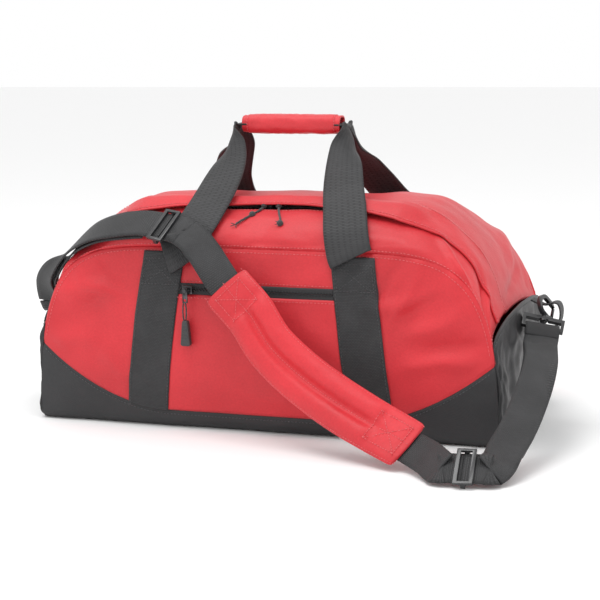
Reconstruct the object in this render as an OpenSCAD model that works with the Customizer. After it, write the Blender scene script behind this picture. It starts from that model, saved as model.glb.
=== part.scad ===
/* [Body] */
// Half the length of the front panel at the floor
front_half = 275; // [260:1:290]
// Height of the front panel's top seam
front_h = 210; // [195:1:220]
// How far the ends swell past the front panel, at mid-depth
end_bulge = 8; // [4:1:14]
// How far the top swells above the front seam, at mid-depth
crown = 50; // [40:1:56]
// Half the depth of the bag at the floor
half_depth = 130; // [120:1:136]
// How far the front leans back at its top seam
lean = 4; // [0:1:8]
// How far the middle of the front panel swells forward
belly = 12; // [6:1:14]
// Thickness of a fabric panel with its lining
skin = 3; // [2:0.5:4]

/* [Base trim] */
// Height of the dark trim in the middle of the front
trim_mid = 21; // [16:1:28]
// Height of the dark trim at the front seams
trim_end = 92; // [84:1:96]
// Half the length of the trim's level middle
trim_flat = 110; // [90:5:130]
// Height of the end panels at mid-depth
end_h = 142; // [134:1:148]
// Height of the end panels at the front and back seams
end_seam_h = 106; // [104:1:112]

/* [Zips] */
// Depth angle of the main zip, counted from the middle of the top
zip_phi = -33; // [-38:1:-28]
// Height of the pocket zip
pocket_zip_z = 163; // [155:1:168]

/* [Handles] */
// Width of the handle webbing
handle_w = 50; // [44:1:50]
// Distance of a sewn webbing run from the middle, at the floor
run_foot_x = 137; // [130:1:144]
// Distance of a sewn webbing run from the middle, at the front seam
run_head_x = 111; // [108:1:118]
// Height of the middle of the hand grip
grip_z = 341; // [334:1:350]
// Length of the wrap round the grip
grip_len = 120; // [100:5:126]

/* [Shoulder strap] */
// Width of the strap webbing
strap_w = 38; // [34:1:40]
// Width of the shoulder pad
pad_w = 60; // [50:1:64]
// Thickness of the shoulder pad
pad_t = 9; // [7:1:10]

/* [Hidden] */

red = "crimson";
dark = "#333333";

// Clearance between two neighbouring pieces of the sewn body
gap = 0.4;
// Height at which the walls stand on the bottom panel
wall_z = skin + gap;
// Exponents of the rounded outline: how square its sides and its top are
side_n = 7;
top_n = 2.8;
// The outline is followed by length along its top and by height down its sides
knee_x = 0.92;
knee_z = pow(1 - pow(knee_x, side_n), 1 / top_n);
// Steps along the arch, up a side and across the depth
arch_steps = 36;
side_steps = 5;
depth_steps = 16;
// Thickness of the webbing
web_t = 2;

// ---- Surfaces of the sewn body ----

function half_len(phi) = front_half + end_bulge * cos(phi);
function top_h(phi) = front_h + crown * cos(phi);

// s runs from -2 at the left foot over the top, at 0, to 2 at the right foot
function outline(a, b, s) = abs(s) > 1
    ? let (zf = (2 - abs(s)) * knee_z) [sign(s) * a * pow(1 - pow(zf, top_n), 1 / side_n), b * zf]
    : [a * s * knee_x, b * pow(1 - pow(abs(s) * knee_x, side_n), 1 / top_n)];

// The value of s where the arch at depth angle phi comes down to height z
function s_at(phi, z) = 2 - z / (top_h(phi) * knee_z);

// How far the loose cloth of the shoulders sinks below the even curve of the arch
shoulder_drop = 14;
function eased(t) = let (u = min(1, max(0, t))) u * u * (3 - 2 * u);
function sunk(s, phi) = shoulder_drop * eased((abs(s) - 0.62) / 0.28) * eased((1.45 - abs(s)) / 0.3)
    * pow(max(0, cos(phi)), 0.8);

// A point of the arched gusset, raised by out from the skin
function arch_pt(s, phi, rise) =
    let (out = rise - sunk(s, phi), b = top_h(phi) + out, p = outline(half_len(phi) + out, b, s))
    [p[0], (half_depth + out - lean * pow(p[1] / b, 1.5)) * sin(phi), p[1]];

// The same by height, on the side given by sgn
function end_pt(sgn, phi, z, out) =
    let (zf = min(z / (top_h(phi) + out), 0.99))
    [sgn * (half_len(phi) + out) * pow(1 - pow(zf, top_n), 1 / side_n),
     (half_depth + out - lean * pow(zf, 1.5)) * sin(phi), z];

// Depth of the front face at a place, raised by out
function face_y(x, z, out) =
    let (b = front_h + out, xf = min(abs(x) / (front_half + out), 0.9999),
         edge = b * pow(1 - pow(xf, side_n), 1 / top_n), up = min(max(z, 0) / edge, 1))
    -(half_depth + out - lean * pow(max(z, 0) / b, 1.5))
    - belly * (1 - pow(xf, 3)) * sin(180 * pow(up, 0.9));
function face_pt(x, z, out) = [x, face_y(x, z, out), z];

// ---- Solids from lists of points ----

function flat(l) = [for (a = l) each a];
function quad(a, b, c, d) = [[a, b, c], [a, c, d]];

// Two grids of points, the outer and the inner side of a panel, closed round their edge
module slab(outer, inner) {
    rows = len(outer);
    cols = len(outer[0]);
    n = rows * cols;
    sides = [for (i = [0 : rows - 2]) for (j = [0 : cols - 2]) each concat(
        quad(i * cols + j, (i + 1) * cols + j, (i + 1) * cols + j + 1, i * cols + j + 1),
        quad(n + i * cols + j, n + i * cols + j + 1, n + (i + 1) * cols + j + 1, n + (i + 1) * cols + j))];
    rim = concat([for (j = [0 : cols - 1]) j],
        [for (i = [1 : rows - 1]) i * cols + cols - 1],
        [for (j = [cols - 2 : -1 : 0]) (rows - 1) * cols + j],
        [for (i = [rows - 2 : -1 : 1]) i * cols]);
    edge = [for (k = [0 : len(rim) - 1]) let (a = rim[k], b = rim[(k + 1) % len(rim)])
        each quad(a, b, n + b, n + a)];
    polyhedron(points = concat(flat(outer), flat(inner)), faces = concat(sides, edge), convexity = 8);
}

// A band swept through stations, each [middle, half width vector, half thickness vector]
module band(st) {
    pts = [for (q = st) each [q[0] - q[1] - q[2], q[0] + q[1] - q[2], q[0] + q[1] + q[2],
        q[0] - q[1] + q[2]]];
    last = 4 * (len(st) - 1);
    polyhedron(points = pts, faces = concat(quad(0, 1, 2, 3), quad(last + 3, last + 2, last + 1, last),
        [for (i = [0 : len(st) - 2]) for (k = [0 : 3])
            each quad(4 * i + k, 4 * i + 4 + k, 4 * i + 4 + (k + 1) % 4, 4 * i + (k + 1) % 4)]),
        convexity = 8);
}

function unit(v) = v / norm(v);
function tangent(pts, i) = unit(pts[min(i + 1, len(pts) - 1)] - pts[max(i - 1, 0)]);
// The part of w that is square to t
function square_to(w, t) = unit(w - t * (w * t));

// Stations of a band that follows pts, with its width along the directions in ws
function stations(pts, ws, w, t, lift = 0) = [for (i = [0 : len(pts) - 1])
    let (d = tangent(pts, i), u = square_to(ws[i], d), n = cross(d, u))
    [pts[i] + n * lift, u * w / 2, n * t / 2]];

// The same points with one more between each two, on a smooth curve through them
function between(p, i) = let (n = len(p) - 1) (-p[max(i - 1, 0)] + 9 * p[i] + 9 * p[i + 1]
    - p[min(i + 2, n)]) / 16;
function fine(p) = [for (i = [0 : len(p) - 1]) each (i < len(p) - 1 ? [p[i], between(p, i)] : [p[i]])];
function finer(p) = fine(fine(p));

// A round cord of diameter d along pts
module cord(pts, d, sides = 8) {
    n = len(pts);
    rings = [for (i = [0 : n - 1])
        let (t = tangent(pts, i), u = square_to(abs(t[1]) > 0.8 ? [1, 0, 0] : [0, 1, 0], t), v = cross(t, u))
        each [for (k = [0 : sides - 1]) let (a = 360 * k / sides)
            pts[i] + (u * cos(a) + v * sin(a)) * d / 2]];
    polyhedron(points = rings, faces = concat(
        [[for (k = [0 : sides - 1]) k], [for (k = [sides - 1 : -1 : 0]) (n - 1) * sides + k]],
        [for (i = [0 : n - 2]) for (k = [0 : sides - 1]) each quad(i * sides + k,
            (i + 1) * sides + k, (i + 1) * sides + (k + 1) % sides, i * sides + (k + 1) % sides)]),
        convexity = 6);
}

// ---- Front and back ----

// Upper edge of the dark base trim on the front face
trim_x = front_half * pow(1 - pow(trim_end / front_h, top_n), 1 / side_n);
function trim_z(x) = trim_mid + (trim_end - trim_mid)
    * pow(max(0, abs(x) - trim_flat) / (trim_x - trim_flat), 1.85);
function lerp(a, b, t) = a + (b - a) * t;

face_rows = 9;
trim_rows = 3;
// Share of the trim's half length along which its lower edge runs on the floor
trim_corner = 0.8;

function front_side(out) = let (e = s_at(-90, end_seam_h)) [for (i = [0 : face_rows])
    [for (j = [0 : arch_steps])
        let (w = 2 * j / arch_steps - 1, x0 = (trim_x + out - 2 * gap) * w,
             top = outline(front_half + out - 2 * gap, front_h + out - 2 * gap, e * w),
             x = lerp(x0, top[0], i / face_rows), z = lerp(trim_z(x0) + gap, top[1], i / face_rows))
        face_pt(x, z, out)]];

function trim_side(out) = [for (i = [0 : trim_rows]) [for (j = [0 : arch_steps])
    let (w = 2 * j / arch_steps - 1, x0 = (trim_x + out - 2 * gap) * w, aw = abs(w),
         foot_x = aw <= trim_corner ? (front_half + out - 2 * gap) * w / trim_corner
             : end_pt(sign(w), 90, rise(aw), out - 2 * gap)[0],
         foot_z = aw <= trim_corner ? wall_z : rise(aw),
         x = lerp(foot_x, x0, i / trim_rows),
         z = lerp(foot_z, trim_z(x0), i / trim_rows))
    face_pt(x, z, out)]];
// Height of the trim's outer edge on the end seam, near each end of the trim
function rise(aw) = wall_z + (trim_end - 14 - wall_z) * (aw - trim_corner) / (1 - trim_corner);

module front_panel() { color(red) slab(front_side(0), front_side(-skin)); }
module back_panel() { color(red) mirror([0, 1, 0]) slab(front_side(0), front_side(-skin)); }
module front_base_trim() { color(dark) slab(trim_side(0), trim_side(-skin)); }
module back_base_trim() { color(dark) mirror([0, 1, 0]) slab(trim_side(0), trim_side(-skin)); }

// ---- Gusset: two long arched panels, two dark end panels, the bottom ----

function end_top(phi) = end_seam_h + (end_h - end_seam_h) * pow(cos(phi), 0.7);

function arch_side(phi0, phi1, steps, out, clear) = [for (i = [0 : steps]) [for (j = [0 : arch_steps])
    let (phi = lerp(phi0, phi1, i / steps), w = 2 * j / arch_steps - 1)
    arch_pt(w * s_at(phi, end_top(phi) + clear), phi, out)]];

module arch_panel(phi0, phi1, steps, out, thick, clear) {
    slab(arch_side(phi0, phi1, steps, out, clear), arch_side(phi0, phi1, steps, out - thick, clear));
}

// Half the depth angle left open for the zip
zip_half = 6.5;
// Height left between the long panels and the end panels, where their chords differ
end_clear = 2.5;
module top_front_panel() { color(red) arch_panel(-90, zip_phi - zip_half, 5, 0, skin, end_clear); }
module top_rear_panel() { color(red) arch_panel(zip_phi + zip_half, 90, 9, 0, skin, end_clear); }

function end_side(sgn, out) = [for (i = [0 : side_steps]) [for (j = [0 : depth_steps])
    let (phi = sgn * (180 * j / depth_steps - 90))
    end_pt(sgn, phi, lerp(wall_z, end_top(phi), i / side_steps), out)]];
module left_end_panel() { color(dark) slab(end_side(-1, 0), end_side(-1, -skin)); }
module right_end_panel() { color(dark) slab(end_side(1, 0), end_side(1, -skin)); }

module footprint(inset) {
    polygon([for (sgn = [1, -1]) for (j = [0 : depth_steps])
        let (phi = sgn * (180 * j / depth_steps - 90))
        [sgn * (half_len(phi) - inset), (half_depth - inset) * sin(phi)]]);
}
module bottom_panel() { color(dark) linear_extrude(skin) footprint(0); }

board_inset = 14;
module base_board() {
    color("dimgray") translate([0, 0, skin + gap]) linear_extrude(2.5) footprint(board_inset);
}

// ---- Main zip ----

// The tapes lie just under the edges of the two long panels
tape_out = -skin - 1.2;
tape_t = 1;
coil_half = 1.6;
module main_zip_front_tape() {
    color(dark) arch_panel(zip_phi - zip_half - 4, zip_phi - coil_half, 2, tape_out, tape_t, 8);
}
module main_zip_rear_tape() {
    color(dark) arch_panel(zip_phi + coil_half, zip_phi + zip_half + 4, 2, tape_out, tape_t, 8);
}
module main_zip_coil() {
    color(dark) arch_panel(zip_phi - coil_half + 0.2, zip_phi + coil_half - 0.2, 1, tape_out + 1,
        tape_t + 1, 8);
}

// The flap is sewn behind the zip and arches over it; its free edge draws back over the sliders
flap_from = zip_phi + zip_half + 1;
flap_to = -52;
flap_back = 14;
flap_steps = 5;
// Height of each row over the skin, from the sewn edge to the free edge
flap_rise = [0, 7, 8.4, 7, 5.2, 3.6];
flap_t = 1.2;
function flap_edge(s) = flap_to + flap_back * max(0, 1 - pow(s / 0.6, 2));
// The rise dies away past the sliders' travel
function flap_lift(s, row) = gap + flap_t + 0.3 + flap_rise[row] * min(1, max(0, (0.72 - abs(s)) / 0.14));
function flap_side(lower) = [for (i = [0 : flap_steps]) [for (j = [0 : arch_steps])
    let (w = 2 * j / arch_steps - 1, s = w * s_at(-50, end_top(-50) + 6),
         phi = lerp(flap_edge(s), flap_from, i / flap_steps))
    arch_pt(s, phi, flap_lift(s, flap_steps - i) - lower)]];
module zip_flap() { color(red) slab(flap_side(0), flap_side(flap_t)); }

// A saddle slider over a zip coil that runs along X, with its bail on top
slider_l = 12;
slider_w = 9;
module slider() {
    difference() {
        translate([-slider_l / 2, -slider_w / 2, 0.6]) cube([slider_l, slider_w, 5]);
        translate([-slider_l, -3.6, 0]) cube([2 * slider_l, 7.2, 3.9]);
    }
    translate([0, 0, 5.6]) rotate([90, 0, 0]) translate([0, 0, -0.8]) linear_extrude(1.6)
        difference() {
            circle(r = 3.6, $fn = 32);
            circle(r = 2.2, $fn = 32);
            translate([-5, -8]) square([10, 8]);
        }
}

// Middle of the coil at the top of the arch, and its slope across the depth
zip_mid = arch_pt(0, zip_phi, tape_out + 0.4);
zip_tilt = atan((crown * sin(-zip_phi)) / ((half_depth - lean) * cos(zip_phi)));
slider_x = 7.5;
module on_main_zip(x) { translate(zip_mid + [x, 0, 0]) rotate([zip_tilt, 0, 0]) children(); }
module main_slider_left() { color("gray") on_main_zip(-slider_x) slider(); }
module main_slider_right() { color("gray") on_main_zip(slider_x) slider(); }

// Pull cords, from their bails down the front of the top
pull_d = 2.6;
left_pull = [[-8, -74, 256], [-9, -79, 252], [-12, -88, 248.2], [-17, -96, 244.8], [-22, -103, 241.5],
    [-27, -109, 238.2], [-31, -114, 234.8]];
right_pull = [[8, -74, 256], [9, -79, 252], [12, -88, 248.2], [15, -95, 245.3], [18, -101, 242.4],
    [20, -106, 239.8], [21, -110, 237.5]];
module pull_cord_left() { color(dark) cord(left_pull, pull_d); }
module pull_cord_right() { color(dark) cord(right_pull, pull_d); }

// ---- Front pocket and sewn webbing ----

function run_x(z) = lerp(run_foot_x, run_head_x, z / front_h);
run_steps = 12;
// Webbing sewn up the face, mirrored to the other side and to the back
module webbing_run() {
    z0 = trim_mid + 8;
    rows = [for (out = [gap + web_t, gap]) [for (i = [0 : run_steps])
        let (z = lerp(z0, front_h - 8, i / run_steps), x = run_x(z))
        [for (k = [-1, 0, 1]) face_pt(x + k * handle_w / 2, z, out)]]];
    slab(rows[0], rows[1]);
}
module front_right_webbing() { color(dark) webbing_run(); }
module front_left_webbing() { color(dark) mirror([1, 0, 0]) webbing_run(); }
module back_right_webbing() { color(dark) mirror([0, 1, 0]) webbing_run(); }
module back_left_webbing() { color(dark) rotate([0, 0, 180]) webbing_run(); }

pocket_t = 1.6;
// A flat piece of the face between the two webbings, from height z0 to z1
module between_runs(z0, z1, out, thick, rows, margin) {
    side = [for (o = [out, out - thick]) [for (i = [0 : rows]) let (z = lerp(z0, z1, i / rows),
        half = run_x(z) - handle_w / 2 - margin)
        [for (k = [-6 : 6]) face_pt(half * k / 6, z, o)]]];
    slab(side[0], side[1]);
}
tape_half = 6.5;
module pocket_panel() {
    color(red) between_runs(trim_mid + 1, pocket_zip_z - tape_half, gap + pocket_t, pocket_t, 8, gap);
}
module pocket_zip_lower_tape() {
    color(dark) between_runs(pocket_zip_z - tape_half + gap, pocket_zip_z - 2.2, gap + 1, 1, 1, gap);
}
module pocket_zip_upper_tape() {
    color(dark) between_runs(pocket_zip_z + 2.2, pocket_zip_z + tape_half, gap + 1, 1, 1, gap);
}
module pocket_zip_coil() {
    color(dark) between_runs(pocket_zip_z - 2, pocket_zip_z + 2, gap + 2, 2, 1, gap);
}

pocket_slider_x = -80;
// Standing height of the pocket slider over the face, and the plane in which its pull hangs
pocket_slider_out = gap + 1.6;
pull_y = face_y(0, pocket_zip_z, 0) - pocket_slider_out - 11.6;
pivot_r = 1;
module pocket_slider() {
    color("gray") translate([pocket_slider_x, face_y(0, pocket_zip_z, 0) - pocket_slider_out,
            pocket_zip_z])
        rotate([90, 0, 0]) {
            slider();
            // Pivot of the pull, standing out from the bail
            translate([0, 0, 8.6]) cylinder(r = pivot_r, h = 5, $fn = 32);
            translate([0, 0, 13]) cylinder(r = 2, h = 1, $fn = 32);
        }
}

pull_top = [pocket_slider_x, pull_y, pocket_zip_z];
module pocket_pull_link() {
    color(dark) translate(pull_top) rotate([90, 0, 0]) translate([0, 0, -0.9]) difference() {
        translate([-3, -14, 0]) cube([6, 17, 1.8]);
        translate([0, 0, -1]) cylinder(r = pivot_r + 0.06, h = 4, $fn = 32);
        translate([-1.8, -12.6, -1]) cube([3.6, 3, 4]);
    }
}
module pocket_pull_cord() {
    color(dark) cord([for (p = [[0, -14.6], [-1.2, -17], [-1.8, -22], [-1.6, -28], [0, -33]])
        pull_top + [p[0], 0, p[1]]], 2.4);
}
module pocket_pull_grip() {
    color(dark) translate(pull_top + [0, 0, -34]) rotate([90, 0, 0]) translate([0, 0, -3.5])
        linear_extrude(7) polygon([[-3, 0], [3, 0], [4, -6], [5, -20], [6, -27], [4.5, -29], [-4.5, -29],
            [-6, -27], [-5, -20], [-4, -6]]);
}

// ---- Carrying handle ----

// Each leg runs from its seam to the middle of the grip. The legs lean in by different amounts.
front_left_leg = [[-111, -134, 203], [-96, -132, 211], [-78, -122, 232], [-70, -96, 255],
    [-67, -66, 277], [-65, -42, 299], [-67, -25, 316], [-70, -14, 329], [-69, -8, 338],
    [-62, -5.4, 341], [-20, -5.4, 341]];
front_right_leg = [[111, -134, 203], [107, -131, 212], [101, -121, 232], [92, -95, 255],
    [82, -67, 276], [75, -42, 297], [71, -25, 314], [70, -14, 328], [68, -8, 338],
    [62, -5.4, 341], [20, -5.4, 341]];
rear_left_leg = [[-111, -134, 203], [-112, -132, 214], [-112, -120, 236], [-109, -92, 256],
    [-101, -64, 278], [-88, -42, 300], [-76, -25, 316], [-71, -14, 329], [-69, -8, 338],
    [-62, -5.4, 341], [-20, -5.4, 341]];
rear_right_leg = [[111, -134, 203], [107, -131, 212], [98, -121, 233], [86, -95, 256],
    [76, -70, 279], [72, -44, 300], [70, -25, 316], [70, -14, 329], [68, -8, 338],
    [62, -5.4, 341], [20, -5.4, 341]];
// The width of a right leg turns from along the bag to across it as the webbing folds up
leg_across = [[-1, 0, 0.1], [-1, 0, 0.1], [-1, 0, 0], [-1, 0, 0], [-1, 0, 0], [-0.95, -0.2, 0],
    [-0.8, -0.6, 0], [-0.4, -0.9, 0], [0, -1, 0], [0, -1, 0], [0, -1, 0]];
leg_w = [handle_w, handle_w, handle_w, handle_w - 2, handle_w - 5, handle_w - 10, 30, 19, 12, 9, 9];
leg_t = [2, 2, 2, 2, 2, 2, 2.5, 3.5, 5, 6, 6];
function flip_x(p) = [-p[0], p[1], p[2]];
module handle_loop(left, right) {
    last = len(left) - 1;
    pts = concat(left, [for (i = [last : -1 : 0]) right[i]]);
    ws = concat([for (p = leg_across) flip_x(p)], [for (i = [last : -1 : 0]) leg_across[i]]);
    band([for (i = [0 : 2 * last + 1])
        let (k = min(i, 2 * last + 1 - i), d = tangent(pts, i), u = square_to(ws[i], d), t = cross(d, u))
        [pts[i], u * leg_w[k] / 2, t * leg_t[k] / 2]]);
}
module front_handle_loop() { color(dark) handle_loop(front_left_leg, front_right_leg); }
module rear_handle_loop() { color(dark) mirror([0, 1, 0]) handle_loop(rear_left_leg, rear_right_leg); }

// The wrap's section: a tall rounded bar with a slot for the two folded webbings
grip_h = 23;
grip_d = 26;
module rounded(w, h, r) {
    polygon([for (c = [[1, 1, 0], [-1, 1, 90], [-1, -1, 180], [1, -1, 270]]) for (a = [0 : 15 : 90])
        [c[0] * (w / 2 - r) + r * cos(a + c[2]), c[1] * (h / 2 - r) + r * sin(a + c[2])]]);
}
module grip_wrap() {
    color(red) translate([-grip_len / 2, 0, grip_z]) rotate([90, 0, 90]) linear_extrude(grip_len)
        difference() {
            rounded(grip_d, grip_h, 10);
            rounded(grip_d - 5, grip_h - 12, 4);
        }
}

// ---- End loops, hooks and glides ----

// The webbing loop that stands out from an end panel, in the plane y = 0
loop_path = [[284.5, 145], [292, 146], [301, 146], [309, 146], [315, 142], [318, 134], [317.5, 124],
    [314, 116], [306, 112], [296, 110.5], [285, 110]];
loop_w = [20, 15, 9, 15, 19, 20, 20, 20, 20, 20, 20];
// How far the hook draws the upper run up or down, at each place
loop_draw = [0, 0.7, 1, 0.6, 0.1, 0, 0, 0, 0, 0, 0];
loop_sag = -7;
module end_loop(draw) {
    pts = [for (i = [0 : len(loop_path) - 1])
        [loop_path[i][0], 0, loop_path[i][1] + draw * loop_draw[i]]];
    band([for (i = [0 : len(pts) - 1])
        let (d = tangent(pts, i), n = cross(d, [0, 1, 0])) [pts[i], [0, loop_w[i] / 2, 0], n * 0.9]]);
}
module right_loop() { color(dark) end_loop(loop_sag); }
module left_loop() { color(dark) mirror([1, 0, 0]) end_loop(loop_sag); }

// Snap hook in its own frame: ring in the plane y = 0, its middle at the origin, post along -Z
ring_w = 30;
ring_h = 26;
ring_t = 4.4;
post_r = 2.4;
// Height of the slot through the strap eye's bar holder
eye_top = -ring_h / 2 - 1.4;
gate_l = 15;
module ring_outline(grow) {
    for (sx = [-1, 1])
        translate([sx * (ring_w / 2 - 12), 0]) circle(r = 12 + grow, $fn = 48);
    square([2 * (ring_w / 2 - 12), 24 + 2 * grow], center = true);
}
module hook_body() {
    rotate([90, 0, 0]) translate([0, 0, -ring_t / 2]) linear_extrude(ring_t) difference() {
        ring_outline(1);
        ring_outline(-3.4);
        // Mouth closed by the gate, on the right-hand side
        translate([5, -6.5]) square([20, gate_l]);
    }
    translate([0, 0, eye_top - 5.2]) cylinder(r = post_r, h = 8, $fn = 32);
    translate([0, 0, eye_top - 6.8]) cylinder(r = 4, h = 2, $fn = 32);
}
// A straight lever between the two sides of the mouth
module hook_gate() {
    translate([ring_w / 2 - 3.4, -1.4, -6.1]) cube([3, 2.8, gate_l - 0.8]);
}
module strap_eye() {
    difference() {
        translate([-(strap_w + 9) / 2, -2.6, eye_top - 18]) cube([strap_w + 9, 5.2, 17.2]);
        translate([0, 0, eye_top - 10]) cylinder(r = post_r + 0.06, h = 12, $fn = 32);
        translate([-5, -4, eye_top - 9]) cube([10, 8, 5]);
        translate([-(strap_w + 2) / 2, -4, eye_top - 14]) cube([strap_w + 2, 8, 8.4]);
    }
}

// Right hook hangs forward off its loop, left hook stands up from its loop
right_tilt = -50;
module right_place() { translate([301, -2.4, 136]) rotate([right_tilt, 0, 0]) children(); }
module left_place() { mirror([1, 0, 0]) right_place() children(); }
ring_turn = 66;
eye_turn = 16;
module right_hook() { color(dark) right_place() rotate([0, 0, ring_turn]) hook_body(); }
module left_hook() { color(dark) left_place() rotate([0, 0, ring_turn]) hook_body(); }
module right_hook_gate() { color("gray") right_place() rotate([0, 0, ring_turn]) hook_gate(); }
module left_hook_gate() { color("gray") left_place() rotate([0, 0, ring_turn]) hook_gate(); }
module right_strap_eye() { color(dark) right_place() rotate([0, 0, eye_turn]) strap_eye(); }
module left_strap_eye() { color(dark) left_place() rotate([0, 0, eye_turn]) strap_eye(); }

// Three-bar glide in its own frame: webbing runs along X between the frame and the bar behind it
glide_w = strap_w + 8;
glide_l = 20;
module glide() {
    difference() {
        translate([-glide_l / 2, -glide_w / 2, 1.5]) cube([glide_l, glide_w, 3.2]);
        translate([-glide_l / 2 + 4, -strap_w / 2 - 1, 1]) cube([glide_l - 8, strap_w + 2, 6]);
    }
    for (sy = [-1, 1]) translate([-2.5, sy * (glide_w / 2 - 1.6) - 1.6, -3.6]) cube([5, 3.2, 6]);
    translate([-2.5, -glide_w / 2, -3.9]) cube([5, glide_w, 2.3]);
}

// ---- Shoulder strap ----

// Route from the left hook over the bag and the floor to the right hook
strap_route = [[-302, -37, 125], [-296, -60, 144], [-280, -86, 163], [-260, -103, 180],
    [-236, -111, 203], [-206, -118, 222], [-172, -122.5, 231.5], [-136, -125, 235],
    [-90, -135, 229.5], [-84, -137, 227.5], [-70, -143, 220.5], [-52, -150, 203], [-26, -162, 174],
    [8, -171, 143], [32, -179, 112], [69, -188, 83], [111, -201, 60], [154, -214, 41],
    [205, -234, 23.5], [230, -256, 19.5], [246, -275.2, 16], [253, -274.6, 16],
    [291, -271.3, 16.6], [297, -270.8, 16.7], [301, -260, 18.5], [302.5, -246, 21.5],
    [304, -229, 28], [308, -208, 37], [311, -186, 47], [313, -162, 58.5], [314.5, -137, 71.5],
    [314.5, -110, 84.5], [312, -85, 95], [307, -64, 102], [304, -50, 105], [303, -38, 109]];
// Which way the webbing's width points at each of those places
strap_across = [[-1, 0, 0], [-0.9, 0.2, 0.35], [-0.6, 0.6, 0.5], [-0.25, 0.93, 0.25],
    [-0.08, 0.96, 0.27], [-0.04, 0.87, 0.49], [0.22, 0.73, 0.65], [0.31, 0.73, 0.61],
    [0.31, 0.73, 0.61], [0.31, 0.73, 0.61], [0.45, 0.65, 0.6], [0.65, 0.5, 0.55],
    [0.75, 0.25, 0.6], [0.72, 0.14, 0.68], [0.7, 0.14, 0.7], [0.62, 0.2, 0.75], [0.5, 0.35, 0.77],
    [0.42, 0.5, 0.74], [0.33, 0.66, 0.67], [0.25, 0.7, 0.66], [-0.12, 0.82, 0.56],
    [-0.12, 0.82, 0.56], [-0.12, 0.82, 0.56], [-0.12, 0.82, 0.56], [-0.4, 0.8, 0.42],
    [-0.6, 0.7, 0.37], [-0.75, 0.45, 0.4], [-0.82, 0.12, 0.42], [-0.86, -0.15, 0.38],
    [-0.84, -0.24, 0.3], [-0.78, -0.34, 0.25], [-0.74, -0.5, 0.24], [-0.78, -0.57, 0.22],
    [-0.85, -0.48, 0.17], [-0.92, -0.38, 0.13], [-0.95, -0.28, 0.1]];
pad_from = 12;
pad_to = 18;
module shoulder_strap() {
    color(dark) band(stations(finer(strap_route), finer(strap_across), strap_w, web_t));
}
module strap_pad() {
    all = stations(finer(strap_route), finer(strap_across), pad_w, pad_t, web_t / 2 + 2 * gap + pad_t / 2);
    color(red) band([for (i = [4 * pad_from : 4 * pad_to]) all[i]]);
}

// The under layer runs back from the left hook to the glide
return_route = [[-302, -32, 131], [-293, -54.5, 149], [-274.5, -81, 163.5], [-255.5, -101, 176.5],
    [-233, -110, 199.5], [-204, -116, 218.5], [-171, -119.5, 228], [-135.5, -122, 231.5]];
module strap_return() {
    color(dark) band(stations(fine(return_route), fine([for (i = [0 : 7]) strap_across[i]]),
        strap_w, web_t));
}

// A glide sits on the straight stretch from one route point to the next
module on_strap(i, share) {
    p = lerp(strap_route[i], strap_route[i + 1], share);
    d = unit(strap_route[i + 1] - strap_route[i]);
    u = square_to(strap_across[i], d);
    n = cross(d, u);
    multmatrix([[d[0], u[0], n[0], p[0]], [d[1], u[1], n[1], p[1]], [d[2], u[2], n[2], p[2]],
        [0, 0, 0, 1]]) children();
}
module left_glide() { color(dark) on_strap(7, 0.56) glide(); }
module right_glide() { color(dark) on_strap(21, 0.5) glide(); }

front_panel();
back_panel();
top_front_panel();
top_rear_panel();
left_end_panel();
right_end_panel();
front_base_trim();
back_base_trim();
bottom_panel();
base_board();
zip_flap();
main_zip_front_tape();
main_zip_rear_tape();
main_zip_coil();
main_slider_left();
main_slider_right();
pull_cord_left();
pull_cord_right();
pocket_panel();
pocket_zip_lower_tape();
pocket_zip_upper_tape();
pocket_zip_coil();
pocket_slider();
pocket_pull_link();
pocket_pull_cord();
pocket_pull_grip();
front_left_webbing();
front_right_webbing();
back_left_webbing();
back_right_webbing();
front_handle_loop();
rear_handle_loop();
grip_wrap();
left_loop();
right_loop();
left_hook();
right_hook();
left_hook_gate();
right_hook_gate();
left_strap_eye();
right_strap_eye();
left_glide();
right_glide();
shoulder_strap();
strap_return();
strap_pad();
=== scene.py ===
import math
import bpy
import bmesh
from mathutils import Matrix, Vector, noise


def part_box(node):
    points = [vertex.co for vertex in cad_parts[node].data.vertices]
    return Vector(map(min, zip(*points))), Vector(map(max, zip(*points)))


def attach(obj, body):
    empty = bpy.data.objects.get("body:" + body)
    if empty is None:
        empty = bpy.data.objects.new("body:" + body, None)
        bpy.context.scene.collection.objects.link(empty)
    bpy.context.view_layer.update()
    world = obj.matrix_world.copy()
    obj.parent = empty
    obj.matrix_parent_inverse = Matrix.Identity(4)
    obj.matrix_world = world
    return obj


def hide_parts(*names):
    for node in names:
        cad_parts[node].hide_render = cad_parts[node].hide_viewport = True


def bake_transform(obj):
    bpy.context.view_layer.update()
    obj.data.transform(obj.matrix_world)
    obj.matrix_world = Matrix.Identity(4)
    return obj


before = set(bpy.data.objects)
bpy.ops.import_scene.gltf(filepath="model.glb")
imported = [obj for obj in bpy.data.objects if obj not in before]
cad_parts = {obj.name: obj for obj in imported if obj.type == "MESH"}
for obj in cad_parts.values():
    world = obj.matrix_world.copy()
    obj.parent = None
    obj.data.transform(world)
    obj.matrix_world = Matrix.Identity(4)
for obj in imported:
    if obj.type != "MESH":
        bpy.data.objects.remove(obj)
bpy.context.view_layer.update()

# ---- Studio ----
# A long lens looks slightly down on the bag's pocket side from its right-hand end.
# The floor is a pale sheet, lit by a wide overhead panel, a low front fill and a bright room.
view_right, view_up, view_back = (
    Vector((0.9449, 0.3272, 0)), Vector((-0.0540, 0.1560, 0.9863)), Vector((0.3227, -0.9320, 0.1650)))
roll = math.radians(-0.8)
lens = bpy.data.cameras.new("studio_camera")
lens.lens = 101.16
lens.sensor_width = 36
camera = bpy.data.objects.new("studio_camera", lens)
bpy.context.scene.collection.objects.link(camera)
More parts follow.
